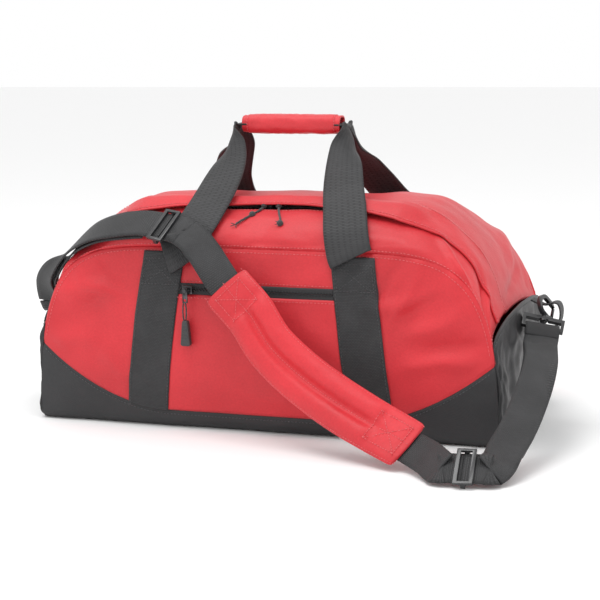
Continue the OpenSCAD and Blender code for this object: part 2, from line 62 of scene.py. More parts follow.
turn = Matrix((
    view_right * math.cos(roll) + view_up * math.sin(roll),
    view_up * math.cos(roll) - view_right * math.sin(roll),
    view_back)).transposed()
camera.matrix_world = Matrix.Translation((0.6530, -1.8705, 0.4631)) @ turn.to_4x4()
bpy.context.scene.camera = camera

floor_bm = bmesh.new()
bmesh.ops.create_grid(floor_bm, x_segments=1, y_segments=1, size=9)
floor_mesh = bpy.data.meshes.new("studio_floor")
floor_bm.to_mesh(floor_mesh)
floor_bm.free()
studio_floor = bpy.data.objects.new("studio_floor", floor_mesh)
bpy.context.scene.collection.objects.link(studio_floor)
paper = bpy.data.materials.new("studio_paper")
paper.use_nodes = True
paper.node_tree.nodes["Principled BSDF"].inputs["Base Color"].default_value = (0.92, 0.92, 0.92, 1)
paper.node_tree.nodes["Principled BSDF"].inputs["Roughness"].default_value = 0.9
floor_mesh.materials.append(paper)

room = bpy.data.worlds.new("studio_room")
room.use_nodes = True
room.node_tree.nodes["Background"].inputs["Color"].default_value = (1, 1, 1, 1)
room.node_tree.nodes["Background"].inputs["Strength"].default_value = 1.0
bpy.context.scene.world = room
bpy.context.scene.view_settings.view_transform = "Standard"


def panel_light(name, place, aim, size, power):
    lamp = bpy.data.lights.new(name, "AREA")
    lamp.size = size
    lamp.energy = power
    holder = bpy.data.objects.new(name, lamp)
    holder.location = place
    holder.rotation_euler = (Vector(place) - Vector(aim)).to_track_quat("Z", "Y").to_euler()
    bpy.context.scene.collection.objects.link(holder)


panel_light("overhead_panel", (-0.3, -0.5, 2.2), (0, 0, 0.1), 1.2, 20)
panel_light("front_fill", (-1.4, -2.0, 0.9), (0, 0, 0.12), 1.0, 2.5)
panel_light("end_fill", (2.2, -0.7, 1.0), (0, 0, 0.12), 1.0, 3)

# ---- Shoulder strap ----
# 38 mm ribbed polypropylene webbing, one length from the left hook over the bag's shoulder,
# down its front and along the floor to the right hook. A short second layer runs back from the
# left hook to the glide that sets the length.


def between(p, i):
    last = len(p) - 1
    return (9 * (p[i] + p[i + 1]) - p[max(i - 1, 0)] - p[min(i + 2, last)]) / 16


def finer(points, times):
    for _ in range(times):
        points = [q for i in range(len(points) - 1) for q in (points[i], between(points, i))] + points[-1:]
    return points


def in_metres(rows):
    return [Vector(row) * 0.001 for row in rows]


def stations(points, across):
    """Where a band passes, with its width and its face directions there."""
    out = []
    for i, p in enumerate(points):
        along = (points[min(i + 1, len(points) - 1)] - points[max(i - 1, 0)]).normalized()
        side = (across[i] - along * across[i].dot(along)).normalized()
        out.append((p, side, along.cross(side)))
    return out


def soft_grid(name, columns, rows, place, finish, thick=0.0, offset=-1.0, outside=None, around=False):
    """A grid of cloth, each point put by place(u, v), with its UV map in metres."""
    bm = bmesh.new()
    uv = bm.loops.layers.uv.verify()
    bmesh.ops.create_grid(bm, x_segments=columns, y_segments=rows, size=1)
    wide = sum((place((i + 1) / columns, 0.5) - place(i / columns, 0.5)).length for i in range(columns))
    tall = sum((place(0.5, (i + 1) / rows) - place(0.5, i / rows)).length for i in range(rows))
    for face in bm.faces:
        for loop in face.loops:
            loop[uv].uv = ((loop.vert.co.x + 1) / 2 * wide, (loop.vert.co.y + 1) / 2 * tall)
    for v in bm.verts:
        v.co = place((v.co.x + 1) / 2, (v.co.y + 1) / 2)
    if around:
        bmesh.ops.remove_doubles(bm, verts=bm.verts, dist=1e-6)
    bm.normal_update()
    if outside is not None:
        if sum((f.calc_center_median() - outside).dot(f.normal) * f.calc_area() for f in bm.faces) < 0:
            bmesh.ops.reverse_faces(bm, faces=bm.faces)
    for face in bm.faces:
        face.smooth = True
    mesh = bpy.data.meshes.new(name)
    bm.to_mesh(mesh)
    bm.free()
    piece = bpy.data.objects.new(name, mesh)
    bpy.context.scene.collection.objects.link(piece)
    mesh.materials.append(finish)
    if thick:
        wall = piece.modifiers.new("cloth_thickness", "SOLIDIFY")
        wall.thickness = thick
        wall.offset = offset
    return piece


def node(tree, kind, links=(), **values):
    """One shader node: values set its own settings, links join or fill its sockets."""
    made = tree.nodes.new(kind)
    for key, value in values.items():
        setattr(made, key, value)
    for socket, source in links:
        if isinstance(source, bpy.types.NodeSocket):
            tree.links.new(source, made.inputs[socket])
        else:
            made.inputs[socket].default_value = source
    return made


def principled(name, rough, **sockets):
    finish = bpy.data.materials.new(name)
    finish.use_nodes = True
    shader = finish.node_tree.nodes["Principled BSDF"]
    shader.inputs["Roughness"].default_value = rough
    for socket, value in sockets.items():
        shader.inputs[socket.replace("_", " ")].default_value = value
    return finish, finish.node_tree, shader


def ramp(tree, source, low, high, near=0.0, far=1.0):
    made = node(tree, "ShaderNodeValToRGB", [("Fac", source)])
    made.color_ramp.elements[0].color = (*low, 1)
    made.color_ramp.elements[1].color = (*high, 1)
    made.color_ramp.elements[0].position = near
    made.color_ramp.elements[1].position = far
    return made.outputs["Color"]


def relief(tree, shader, height, strength, depth):
    bump = node(tree, "ShaderNodeBump", [("Height", height), ("Strength", strength), ("Distance", depth)])
    tree.links.new(bump.outputs["Normal"], shader.inputs["Normal"])


def webbing_finish(name, low, high):
    """Short raised picks in offset rows across the webbing, duller where it has been handled."""
    finish, tree, shader = principled(name, 0.62, Sheen_Weight=0.06, Sheen_Roughness=0.5)
    flat_map = node(tree, "ShaderNodeTexCoord").outputs["UV"]
    rows = node(tree, "ShaderNodeTexBrick", [("Vector", flat_map), ("Scale", 150.0), ("Mortar Size", 0.07),
        ("Mortar Smooth", 0.7), ("Color1", (1, 1, 1, 1)), ("Color2", (0.62, 0.62, 0.62, 1)),
        ("Mortar", (0, 0, 0, 1))])
    wear = node(tree, "ShaderNodeTexNoise", [("Vector", flat_map), ("Scale", 24.0), ("Detail", 5.0)])
    picks = ramp(tree, rows.outputs["Color"], low, high, 0.1, 0.95)
    worn = node(tree, "ShaderNodeMix", data_type="RGBA")
    tree.links.new(ramp(tree, wear.outputs["Fac"], (0.0,) * 3, (0.5,) * 3, 0.45, 0.75), worn.inputs["Factor"])
    tree.links.new(picks, worn.inputs[6])
    worn.inputs[7].default_value = (high[0] * 1.2, high[1] * 1.2, high[2] * 1.2, 1)
    tree.links.new(worn.outputs[2], shader.inputs["Base Color"])
    relief(tree, shader, rows.outputs["Color"], 0.7, 0.0006)
    return finish


webbing = webbing_finish("ribbed_webbing", (0.008, 0.008, 0.009), (0.038, 0.038, 0.040))

STRAP_W, STRAP_T = 0.038, 0.0020
strap_route = in_metres([[-302, -37, 125], [-296, -60, 144], [-280, -86, 163], [-260, -103, 180],
    [-236, -111, 203], [-206, -118, 222], [-172, -122.5, 231.5], [-136, -125, 235],
    [-90, -135, 229.5], [-84, -137, 227.5], [-70, -143, 220.5], [-52, -150, 203], [-26, -162, 174],
    [8, -171, 143], [32, -179, 112], [69, -188, 83], [111, -201, 60], [154, -214, 41],
    [205, -234, 23.5], [230, -256, 19.5], [246, -275.2, 16], [253, -274.6, 16],
    [291, -271.3, 16.6], [297, -270.8, 16.7], [301, -260, 18.5], [302.5, -246, 21.5],
    [304, -229, 28], [308, -208, 37], [311, -186, 47], [313, -162, 58.5], [314.5, -137, 71.5],
    [314.5, -110, 84.5], [312, -85, 95], [307, -64, 102], [304, -50, 105], [303, -38, 109]])
strap_across = [Vector(v) for v in ([-1, 0, 0], [-0.9, 0.2, 0.35], [-0.6, 0.6, 0.5], [-0.25, 0.93, 0.25],
    [-0.08, 0.96, 0.27], [-0.04, 0.87, 0.49], [0.22, 0.73, 0.65], [0.31, 0.73, 0.61],
    [0.31, 0.73, 0.61], [0.31, 0.73, 0.61], [0.45, 0.65, 0.6], [0.65, 0.5, 0.55],
    [0.75, 0.25, 0.6], [0.72, 0.14, 0.68], [0.7, 0.14, 0.7], [0.62, 0.2, 0.75], [0.5, 0.35, 0.77],
    [0.42, 0.5, 0.74], [0.33, 0.66, 0.67], [0.25, 0.7, 0.66], [-0.12, 0.82, 0.56],
    [-0.12, 0.82, 0.56], [-0.12, 0.82, 0.56], [-0.12, 0.82, 0.56], [-0.4, 0.8, 0.42],
    [-0.6, 0.7, 0.37], [-0.75, 0.45, 0.4], [-0.82, 0.12, 0.42], [-0.86, -0.15, 0.38],
    [-0.84, -0.24, 0.3], [-0.78, -0.34, 0.25], [-0.74, -0.5, 0.24], [-0.78, -0.57, 0.22],
    [-0.85, -0.48, 0.17], [-0.92, -0.38, 0.13], [-0.95, -0.28, 0.1])]
return_route = in_metres([[-302, -32, 131], [-293, -54.5, 149], [-274.5, -81, 163.5], [-255.5, -101, 176.5],
    [-233, -110, 199.5], [-204, -116, 218.5], [-171, -119.5, 228], [-135.5, -122, 231.5]])


def ribbon(name, stops, width, thick):
    """Flat webbing through the stops, its width even or given stop by stop."""
    last = len(stops) - 1

    def place(u, v):
        p, side, _ = stops[round(v * last)]
        w = width[round(v * last)] if isinstance(width, list) else width
        return p + side * ((2 * u - 1) * w / 2)
    return soft_grid(name, 8, last, place, webbing, thick, 0.0)


def declare(piece, cad_node, body="bag"):
    """Hides the CAD piece it stands for and parents it to what it moves with."""
    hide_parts(cad_node)
    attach(piece, body)


strap_stops = stations(finer(strap_route, 3), finer(strap_across, 3))
return_stops = stations(finer(return_route, 3), finer(strap_across[:8], 3))
shoulder_webbing = ribbon("shoulder_webbing", strap_stops, STRAP_W, STRAP_T)
return_webbing = ribbon("return_webbing", return_stops, STRAP_W, STRAP_T)
declare(shoulder_webbing, "shoulder_strap")
declare(return_webbing, "strap_return")


def run_length(points):
    return sum((b - a).length for a, b in zip(points, points[1:]))


# ---- Zip pull cords ----
# Two short lengths of twisted polyester cord, knotted through the bails of the main zip's sliders.
# Each is knotted at its bail and again near its free end, which frays into a tuft.


def cap_ends(tube):
    bm = bmesh.new()
    bm.from_mesh(tube.data)
    bmesh.ops.holes_fill(bm, edges=[e for e in bm.edges if e.is_boundary], sides=0)
    bmesh.ops.recalc_face_normals(bm, faces=bm.faces)
    bm.to_mesh(tube.data)
    bm.free()
    return tube


def rope(name, points, across, finish, strands=3, pitch=0.006, sides=14, depth=0.16):
    """A twisted cord: its round section carries the lobes of its strands, turning along it."""
    along = [0.0]
    for a, b in zip(points, points[1:]):
        along.append(along[-1] + (b - a).length)
    hint = Vector((0, 1, 0)) if abs((points[1] - points[0]).normalized().y) < 0.8 else Vector((1, 0, 0))
    stops = stations(points, [hint] * len(points))
    last = len(stops) - 1

    def place(u, v):
        i = round(v * last)
        p, side, face = stops[i]
        angle = 2 * math.pi * (round(u * sides) % sides) / sides
        lobe = 1 + depth * (math.cos(strands * angle - 2 * math.pi * along[i] / pitch) - 0.6)
        end = min(1.0, 0.35 + 3.0 * min(i, last - i) / last * 4)
        return p + (side * math.cos(angle) + face * math.sin(angle)) * (across / 2 * lobe * end)
    return cap_ends(soft_grid(name, sides, last, place, finish, around=True))


def new_piece(name, bm, finish):
    for f in bm.faces:
        f.smooth = True
    mesh = bpy.data.meshes.new(name)
    bm.to_mesh(mesh)
    bm.free()
    mesh.materials.append(finish)
    piece = bpy.data.objects.new(name, mesh)
    bpy.context.scene.collection.objects.link(piece)
    return piece


def lump(name, centre, size, seed, finish):
    """A tight knot: a ball wound with three turns of cord."""
    bm = bmesh.new()
    bmesh.ops.create_icosphere(bm, subdivisions=4, radius=1)
    for v in bm.verts:
        n = v.co.normalized()
        turns = max(abs(math.sin(4.2 * n.dot(Vector((math.sin(seed + k), math.cos(1.7 * seed + k), 0.4 * k))
            .normalized()) + k)) for k in range(3))
        v.co = centre + n * (0.72 + 0.28 * turns) * size / 2
    return new_piece(name, bm, finish)


def mottled(name, rough, scale, detail, low, high, near=0.0, far=1.0, bump=None, shine=None, **sockets):
    """A solid finish with fine changes of tone, and of height or roughness where they are given."""
    finish, tree, shader = principled(name, rough, **sockets)
    solid = node(tree, "ShaderNodeTexCoord").outputs["Object"]
    grain = node(tree, "ShaderNodeTexNoise",
        [("Vector", solid), ("Scale", scale), ("Detail", detail)]).outputs["Fac"]
    tree.links.new(ramp(tree, grain, low, high, near, far), shader.inputs["Base Color"])
    if shine:
        spread = node(tree, "ShaderNodeMapRange", [("Value", grain), ("To Min", shine[0]), ("To Max", shine[1])])
        tree.links.new(spread.outputs[0], shader.inputs["Roughness"])
    if bump:
        relief(tree, shader, grain, *bump)
    return finish


cord_black = mottled("twisted_cord_black", 0.7, 900.0, 4.0, (0.010, 0.010, 0.010), (0.045, 0.045, 0.047),
    0.3, 0.7, bump=(0.5, 0.0003), Sheen_Weight=0.3)

PULL_D = 0.0026
left_pull = in_metres([[-8, -74, 256], [-9, -79, 252], [-12, -88, 248.2], [-17, -96, 244.8], [-22, -103, 241.5],
    [-27, -109, 238.2], [-31, -114, 234.8]])
right_pull = in_metres([[8, -74, 256], [9, -79, 252], [12, -88, 248.2], [15, -95, 245.3], [18, -101, 242.4],
    [20, -106, 239.8], [21, -110, 237.5]])
for label, pull, body, knot in (("left", left_pull, "left_main_slider", 3),
        ("right", right_pull, "right_main_slider", 6)):
    line = finer(pull, 3)
    cord = rope(label + "_pull_cord", line, PULL_D, cord_black)
    knots = [lump(label + "_pull_knot", pull[knot], 0.0075, knot, cord_black),
        lump(label + "_bail_knot", pull[1] + Vector((0, 0, 0.001)), 0.0065, knot + 2, cord_black)]
    for k, (dx, dz) in enumerate(((-0.003, 0.0016), (-0.0035, -0.001), (0.0015, -0.002))):
        tip = pull[-1]
        tuft = rope(f"{label}_pull_tuft_{k}", [tip + Vector((dx, -0.002, dz)) * t for t in (0, 0.5, 1, 1.5)],
            0.0011, cord_black, sides=8)
        knots.append(tuft)
    run_length(line)
    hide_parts("pull_cord_" + label)
    for piece in [cord] + knots:
        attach(piece, body)

# ---- Front and back panels ----
# Coated woven polyester, one red D-shaped panel each side, sewn to the arched top all round
# and to the black base trim below. Stuffing bellies them out, and the seams draw them in.

# Half length, height of the faces, rise of the crown, bulge of the ends, half depth, lean and belly
HALF, FRONT_H, CROWN, BULGE, DEPTH, LEAN, BELLY = 0.275, 0.210, 0.050, 0.008, 0.130, 0.004, 0.012
SIDE_N, TOP_N, KNEE_X = 7, 2.8, 0.92
KNEE_Z = (1 - KNEE_X ** SIDE_N) ** (1 / TOP_N)
END_H, END_SEAM_H, TRIM_MID, TRIM_END, TRIM_FLAT, WALL_Z = 0.142, 0.106, 0.021, 0.092, 0.110, 0.0034
CENTRE = Vector((0, 0, 0.11))
CLOTH_T, FOOT_R = 0.0016, 0.012


def lerp(a, b, t):
    return a + (b - a) * t


def ease(t):
    t = min(1.0, max(0.0, t))
    return t * t * (3 - 2 * t)


def half_len(phi):
    return HALF + BULGE * math.cos(phi)


def top_h(phi):
    return FRONT_H + CROWN * math.cos(phi)


def outline(a, b, s):
    if abs(s) > 1:
        up = (2 - abs(s)) * KNEE_Z
        return math.copysign(a * max(0.0, 1 - up ** TOP_N) ** (1 / SIDE_N), s), b * up
    return a * s * KNEE_X, b * (1 - (abs(s) * KNEE_X) ** SIDE_N) ** (1 / TOP_N)


def s_at(phi, z):
    return 2 - z / (top_h(phi) * KNEE_Z)


def edge_z(x):
    """Height of the front's top seam over a place along the bag."""
    return FRONT_H * max(0.0, 1 - min(1.0, abs(x) / HALF) ** SIDE_N) ** (1 / TOP_N)


TRIM_X = HALF * (1 - (TRIM_END / FRONT_H) ** TOP_N) ** (1 / SIDE_N)


def trim_z(x):
    return TRIM_MID + (TRIM_END - TRIM_MID) * (max(0.0, abs(x) - TRIM_FLAT) / (TRIM_X - TRIM_FLAT)) ** 1.85


# Soft folds: from x, z to x, z, height and half width, on the pocket side, in millimetres
front_folds = [[210, 168, 130, 150, 3.0, 9], [236, 150, 178, 118, 3.4, 11], [250, 118, 190, 96, -2.6, 9],
    [244, 98, 172, 84, 3.0, 10], [180, 186, 158, 128, 2.4, 7], [156, 195, 142, 150, -2.2, 6],
    [132, 199, 128, 158, 2.2, 6], [112, 200, 104, 150, -1.6, 6], [206, 172, 176, 136, -2.2, 8],
    [-246, 150, -180, 168, 2.6, 12], [-250, 122, -190, 138, -2.4, 12], [-226, 178, -170, 150, 2.2, 9],
    [-256, 100, -196, 96, 2.4, 11], [-196, 190, -160, 160, -1.8, 8], [-60, 190, -20, 130, 1.6, 16],
    [30, 150, 96, 90, 2.2, 18], [-90, 60, 40, 44, 2.4, 14], [60, 60, 150, 60, -1.8, 14],
    [-190, 80, -150, 60, 2.0, 12], [96, 190, 40, 172, 1.6, 10]]


def fold_height(x, z, folds, shift=0.0):
    total = 0.0
    for x0, z0, x1, z1, high, wide in folds:
        dx, dz = (x1 - x0) / 1000, (z1 - z0) / 1000
        span = dx * dx + dz * dz
        t = ((x - x0 / 1000) * dx + (z - z0 / 1000) * dz) / span
        off = ((x - x0 / 1000) * dz - (z - z0 / 1000) * dx) / math.sqrt(span)
        bend = 0.004 * math.sin(t * 4 + x0 + shift)
        ends = ease((t + 0.25) / 0.5) * ease((1.25 - t) / 0.5)
        if ends > 0:
            total += high / 1000 * ends * math.exp(-((off - bend) / (wide / 1000)) ** 2)
    return total


def face_y(x, z, out=0.0):
    b = FRONT_H + out
    xf = min(abs(x) / (HALF + out), 0.9999)
    edge = b * (1 - xf ** SIDE_N) ** (1 / TOP_N)
    up = min(max(z, 0.0) / edge, 1.0)
    return (-(DEPTH + out - LEAN * (max(z, 0.0) / b) ** 1.5)
        - BELLY * (1 - xf ** 3) * math.sin(math.pi * up ** 0.9))


def tucked(z):
    """How far the foot of the cloth turns in under the bag."""
    return FOOT_R - math.sqrt(max(0.0, FOOT_R ** 2 - (FOOT_R - z) ** 2)) if z < FOOT_R else 0.0


def cloth_out(x, z, seed):
    """How far the real cloth stands off its smooth shape: folds, soft waves and seam puckers."""
    to_top, to_trim = edge_z(x) - z, z - trim_z(x)
    away = min(abs(to_top), abs(to_trim))
    calm = ease(away / 0.022)
    p = Vector((x, z, seed))
    waves = 0.0020 * noise.noise(p * 13) + 0.0009 * noise.noise(p * 34)
    if seed == 0:
        waves += lerp(0.9, 1.5, ease((abs(x) - 0.08) / 0.05)) * fold_height(x, z, front_folds)
    else:
        waves += fold_height(-x, z, front_folds, 2.0) * 0.8
    right = ease((x - 0.07) / 0.06) if seed == 0 else 0.6
    pucker = ((0.0010 + 0.0028 * right) * noise.noise(Vector((x * 62, z * 9, seed + 4)))
        * math.exp(-abs(to_top) / 0.022))
    pucker += 0.0008 * noise.noise(Vector((x * 48, z * 30, seed + 8))) * math.exp(-abs(to_trim) / 0.018)
    groove = -0.0014 * math.exp(-(to_top / 0.0035) ** 2) - 0.0010 * math.exp(-(to_trim / 0.0030) ** 2)
    return waves * calm + pucker * ease(away / 0.004) + groove - tucked(z)


def face_at(side, x, z, out=0.0):
    """A point on the pocket face, or with side 1 on the back face, raised by out."""
    off = out + cloth_out(x, z, 0 if side < 0 else 5)
    return Vector((x, -side * (face_y(x, z) - off), z))


def woven_finish(name, low, high, pitch, rough, sheen, gloss=0.5):
    """Plain weave under a thin coating, with slow changes of tone and shine across the cloth."""
    finish, tree, shader = principled(name, rough, Sheen_Weight=sheen, Sheen_Roughness=0.45,
        Specular_IOR_Level=gloss)
    shader.inputs["Sheen Tint"].default_value = (1.0, 0.82, 0.82, 1)
    where = node(tree, "ShaderNodeTexCoord")
    flat_map, solid = where.outputs["UV"], where.outputs["Object"]
    warp, weft = (node(tree, "ShaderNodeTexWave", [("Vector", flat_map), ("Scale", 0.314 / pitch),
        ("Distortion", 0.6), ("Detail", 1.0), ("Detail Scale", 0.4)], bands_direction=way) for way in "XY")
    grid = node(tree, "ShaderNodeMath", [(0, warp.outputs["Fac"]), (1, weft.outputs["Fac"])],
        operation="MULTIPLY")
    tone = node(tree, "ShaderNodeTexNoise", [("Vector", solid), ("Scale", 7.0), ("Detail", 5.0),
        ("Roughness", 0.55)])
    speck = node(tree, "ShaderNodeTexNoise", [("Vector", flat_map), ("Scale", 420.0), ("Detail", 3.0)])
    part = node(tree, "ShaderNodeMath", [(0, grid.outputs[0]), (1, 0.22), (2, tone.outputs["Fac"])],
        operation="MULTIPLY_ADD")
    part2 = node(tree, "ShaderNodeMath", [(0, speck.outputs["Fac"]), (1, 0.35), (2, part.outputs[0])],
        operation="MULTIPLY_ADD")
    tree.links.new(ramp(tree, part2.outputs[0], low, high, 0.35, 1.05), shader.inputs["Base Color"])
    shine = node(tree, "ShaderNodeMapRange", [("Value", tone.outputs["Fac"]), ("From Min", 0.3), ("From Max", 0.7),
        ("To Min", rough - 0.06), ("To Max", rough + 0.10)])
    tree.links.new(shine.outputs[0], shader.inputs["Roughness"])
    crumple = node(tree, "ShaderNodeTexNoise", [("Vector", solid), ("Scale", 38.0), ("Detail", 4.0),
        ("Roughness", 0.6)])
    first = node(tree, "ShaderNodeBump", [("Height", crumple.outputs["Fac"]), ("Strength", 0.32),
        ("Distance", 0.004)])
    second = node(tree, "ShaderNodeBump", [("Height", grid.outputs[0]), ("Strength", 0.28), ("Distance", 0.0003),
        ("Normal", first.outputs["Normal"])])
    tree.links.new(second.outputs["Normal"], shader.inputs["Normal"])
    return finish


red_cloth = woven_finish("coated_weave_red", (0.42, 0.006, 0.012), (0.72, 0.026, 0.038), 0.0009, 0.48, 0.10)
black_cloth = woven_finish("coated_weave_black", (0.007, 0.007, 0.008), (0.026, 0.026, 0.028), 0.0009, 0.44, 0.04)

END_S = s_at(math.pi / 2, END_SEAM_H)


def front_at(side, w, t):
    x0 = TRIM_X * w
    top = outline(HALF, FRONT_H, END_S * w)
    return face_at(side, lerp(x0, top[0], t), lerp(trim_z(x0), top[1], t))


for side, label, cad_node in ((-1, "front_cloth", "front_panel"), (1, "back_cloth", "back_panel")):
    piece = soft_grid(label, 210, 74, lambda u, v, side=side: front_at(side, 2 * u - 1, v), red_cloth, CLOTH_T,
        outside=CENTRE)
    declare(piece, cad_node)

# ---- Base trims and bottom ----
# The same coated cloth in black: a curved guard along the foot of each face that climbs to the
# end seams, and a flat bottom whose rim ends under their feet.

FOOT_CORNER = 0.8


def rise(aw):
    return WALL_Z + (TRIM_END - 0.014 - WALL_Z) * (aw - FOOT_CORNER) / (1 - FOOT_CORNER)


def end_at(sgn, phi, z, out=0.0, still=False):
    """A point on an end wall by depth angle and height, with its own folds."""
    zf = min(z / (top_h(phi) + out), 0.99)
    off = out
    if not still:
        p = Vector((phi * 0.12, z, sgn * 3))
        calm = ease((math.pi / 2 - abs(phi)) / 0.12) * ease((end_top(phi) - z) / 0.014)
        off += (0.0045 * noise.noise(p * 26) + 0.0022 * noise.noise(p * 60)) * calm
        off -= 0.0012 * math.exp(-((math.pi / 2 - abs(phi)) / 0.022) ** 2)
    off -= tucked(z)
    x = sgn * (half_len(phi) + off) * (1 - zf ** TOP_N) ** (1 / SIDE_N)
    return Vector((x, (DEPTH + off - LEAN * zf ** 1.5) * math.sin(phi), z))


def end_top(phi):
    return END_SEAM_H + (END_H - END_SEAM_H) * max(0.0, math.cos(phi)) ** 0.7


def trim_at(side, w, t):
    aw = abs(w)
    x0 = TRIM_X * w
    if aw <= FOOT_CORNER:
        foot_x, foot_z = HALF * w / FOOT_CORNER, 0.0006
    else:
        foot_z = max(0.0006, rise(aw))
        foot_x = end_at(math.copysign(1, w), math.pi / 2, foot_z, still=True).x
    return face_at(side, lerp(foot_x, x0, t), lerp(foot_z, trim_z(x0), t))


for side, label, cad_node in ((-1, "front_foot_cloth", "front_base_trim"),
        (1, "back_foot_cloth", "back_base_trim")):
    piece = soft_grid(label, 240, 34, lambda u, v, side=side: trim_at(side, 2 * u - 1, v ** 1.3),
        black_cloth, CLOTH_T, outside=CENTRE)
    declare(piece, cad_node)


def foot_at(u, v):
    angle = 2 * math.pi * (round(u * 96) % 96) / 96
    phi = math.asin(max(-1, min(1, math.sin(angle))))
    sgn = 1 if math.cos(angle) >= 0 else -1
    rim = Vector((sgn * (half_len(phi) - 0.0105), (DEPTH - 0.0105) * math.sin(phi), 0.0007))
    return rim * v + Vector((0, 0, 0.0007)) * (1 - v)


bottom = soft_grid("bottom_cloth", 96, 12, foot_at, black_cloth, 0.0018, offset=1.0, around=True,
    outside=Vector((0, 0, -1)))
declare(bottom, "bottom_panel")

# ---- End panels ----
# Black cloth walls, curved round from face to face, a little loose so that they crumple.
for sgn, label, cad_node in ((-1, "left_end_cloth", "left_end_panel"), (1, "right_end_cloth", "right_end_panel")):
    piece = soft_grid(label, 96, 44, lambda u, v, sgn=sgn: end_at(sgn, math.pi * (u - 0.5),
        lerp(0.0008, end_top(math.pi * (u - 0.5)), v ** 1.2)), black_cloth, CLOTH_T, outside=CENTRE)
    declare(piece, cad_node)

# ---- Arched top panels and flap ----
# Two long red panels meet at the main zip and run down both shoulders to the end panels. A hemmed
# flap is sewn behind the zip and lies over it, lifting a little over the sliders.
ZIP_PHI, ZIP_HALF = math.radians(-33), math.radians(6.5)
END_CLEAR, SKIN = 0.0012, 0.003

# Folds on the arch: s and depth angle of both ends, height and half width in millimetres
arch_folds = [[0.95, -86, 0.80, -52, 3.0, 7], [1.10, -84, 0.98, -48, -2.6, 7], [1.22, -80, 1.06, -50, 2.6, 6],
    [-0.95, -86, -0.84, -50, 2.6, 8], [-1.15, -84, -1.0, -48, -2.2, 8], [0.42, -84, 0.30, -50, 1.8, 12],
    [-0.40, -84, -0.28, -46, 2.0, 12], [0.0, -86, 0.04, -56, -1.2, 12], [1.0, 20, 0.86, 76, 2.6, 12],
    [-1.0, 24, -0.88, 80, 2.6, 12], [0.5, 0, 0.4, 60, 1.8, 16], [-0.5, 6, -0.42, 66, -1.8, 14],
    [1.2, -10, 1.05, 40, -2.4, 10], [-1.2, -8, -1.02, 44, 2.2, 10]]


def sunk(s, phi):
    """How far the loose cloth of the shoulders sinks below the even curve of the arch."""
    return (0.014 * ease((abs(s) - 0.62) / 0.28) * ease((1.45 - abs(s)) / 0.3)
        * max(0.0, math.cos(phi)) ** 0.8)


def arch_at(s, phi, out=0.0, still=False):
    """A point on the arched top, by its place along the arch and its depth angle."""
    b = top_h(phi)
    x, z = outline(half_len(phi), b, s)
    off = out - sunk(s, phi)
    if not still:
        p = Vector((x, phi * 0.15, z))
        to_front, to_back = (phi + math.pi / 2) * 0.14, (math.pi / 2 - phi) * 0.14
        to_end = abs(s_at(phi, end_top(phi)) - abs(s)) * 0.13
        calm = ease(min(to_front, to_back, to_end) / 0.02)
        folds = 0.0
        for s0, a0, s1, a1, high, wide in arch_folds:
            ds, da = (s1 - s0) * 0.25, math.radians(a1 - a0) * 0.14
            ps, pa = (s - s0) * 0.25, (phi - math.radians(a0)) * 0.14
            span = ds * ds + da * da
            t = (ps * ds + pa * da) / span
            side_off = (ps * da - pa * ds) / math.sqrt(span)
            ends = ease((t + 0.2) / 0.4) * ease((1.2 - t) / 0.4)
            folds += 1.3 * high / 1000 * ends * math.exp(-(side_off / (wide / 1000)) ** 2)
        off += (0.0022 * noise.noise(p * 12) + 0.0009 * noise.noise(p * 33) + folds) * calm
        off += 0.0010 * noise.noise(Vector((s * 16, phi * 4, 2))) * math.exp(-min(to_front, to_back) / 0.015)
        off -= 0.0014 * math.exp(-(min(to_front, to_back) / 0.0035) ** 2) + 0.001 * math.exp(-(to_end / 0.003) ** 2)
    grown = outline(half_len(phi) + off, b + off, s)
    return Vector((grown[0], (DEPTH + off - LEAN * (z / b) ** 1.5) * math.sin(phi), grown[1]))


def arch_cloth(name, phi0, phi1, rows):
    def place(u, v):
        phi = lerp(phi0, phi1, v)
        return arch_at((2 * u - 1) * s_at(phi, end_top(phi) + END_CLEAR), phi)
    return soft_grid(name, 230, rows, place, red_cloth, CLOTH_T, outside=CENTRE)


top_front = arch_cloth("top_front_cloth", -math.pi / 2, ZIP_PHI - ZIP_HALF, 40)
top_rear = arch_cloth("top_rear_cloth", ZIP_PHI + ZIP_HALF, math.pi / 2, 70)

FLAP_FROM, FLAP_TO, FLAP_BACK = ZIP_PHI + ZIP_HALF + math.radians(1), math.radians(-52), math.radians(14)
flap_rise = [0, 7, 8.4, 7, 5.2, 3.6]


def flap_at(u, v, out=0.0):
    """u along the arch, v from the free hem to the sewn edge."""
    w = 2 * u - 1
    s = w * s_at(math.radians(-50), end_top(math.radians(-50)) + 0.004)
    phi = lerp(FLAP_TO + FLAP_BACK * max(0.0, 1 - (s / 0.6) ** 2), FLAP_FROM, v)
    row = (1 - v) * 5
    k = min(4, int(row))
    lift = lerp(flap_rise[k], flap_rise[k + 1], row - k) / 1000
    gate = min(1.0, max(0.0, (0.72 - abs(s)) / 0.14))
    wave = 0.0011 * noise.noise(Vector((s * 7, v, 3))) * ease(row)
    hem = 0.0007 * (1 - ease(row / 5 * 3 - 1.4)) if v < 0.2 else 0.0
    return arch_at(s, phi, 0.0021 + lift * gate + wave + hem + out)


flap = soft_grid("zip_flap_cloth", 230, 24, flap_at, red_cloth, 0.0018, outside=CENTRE)
for piece, cad_node in ((top_front, "top_front_panel"), (top_rear, "top_rear_panel"), (flap, "zip_flap")):
    declare(piece, cad_node)

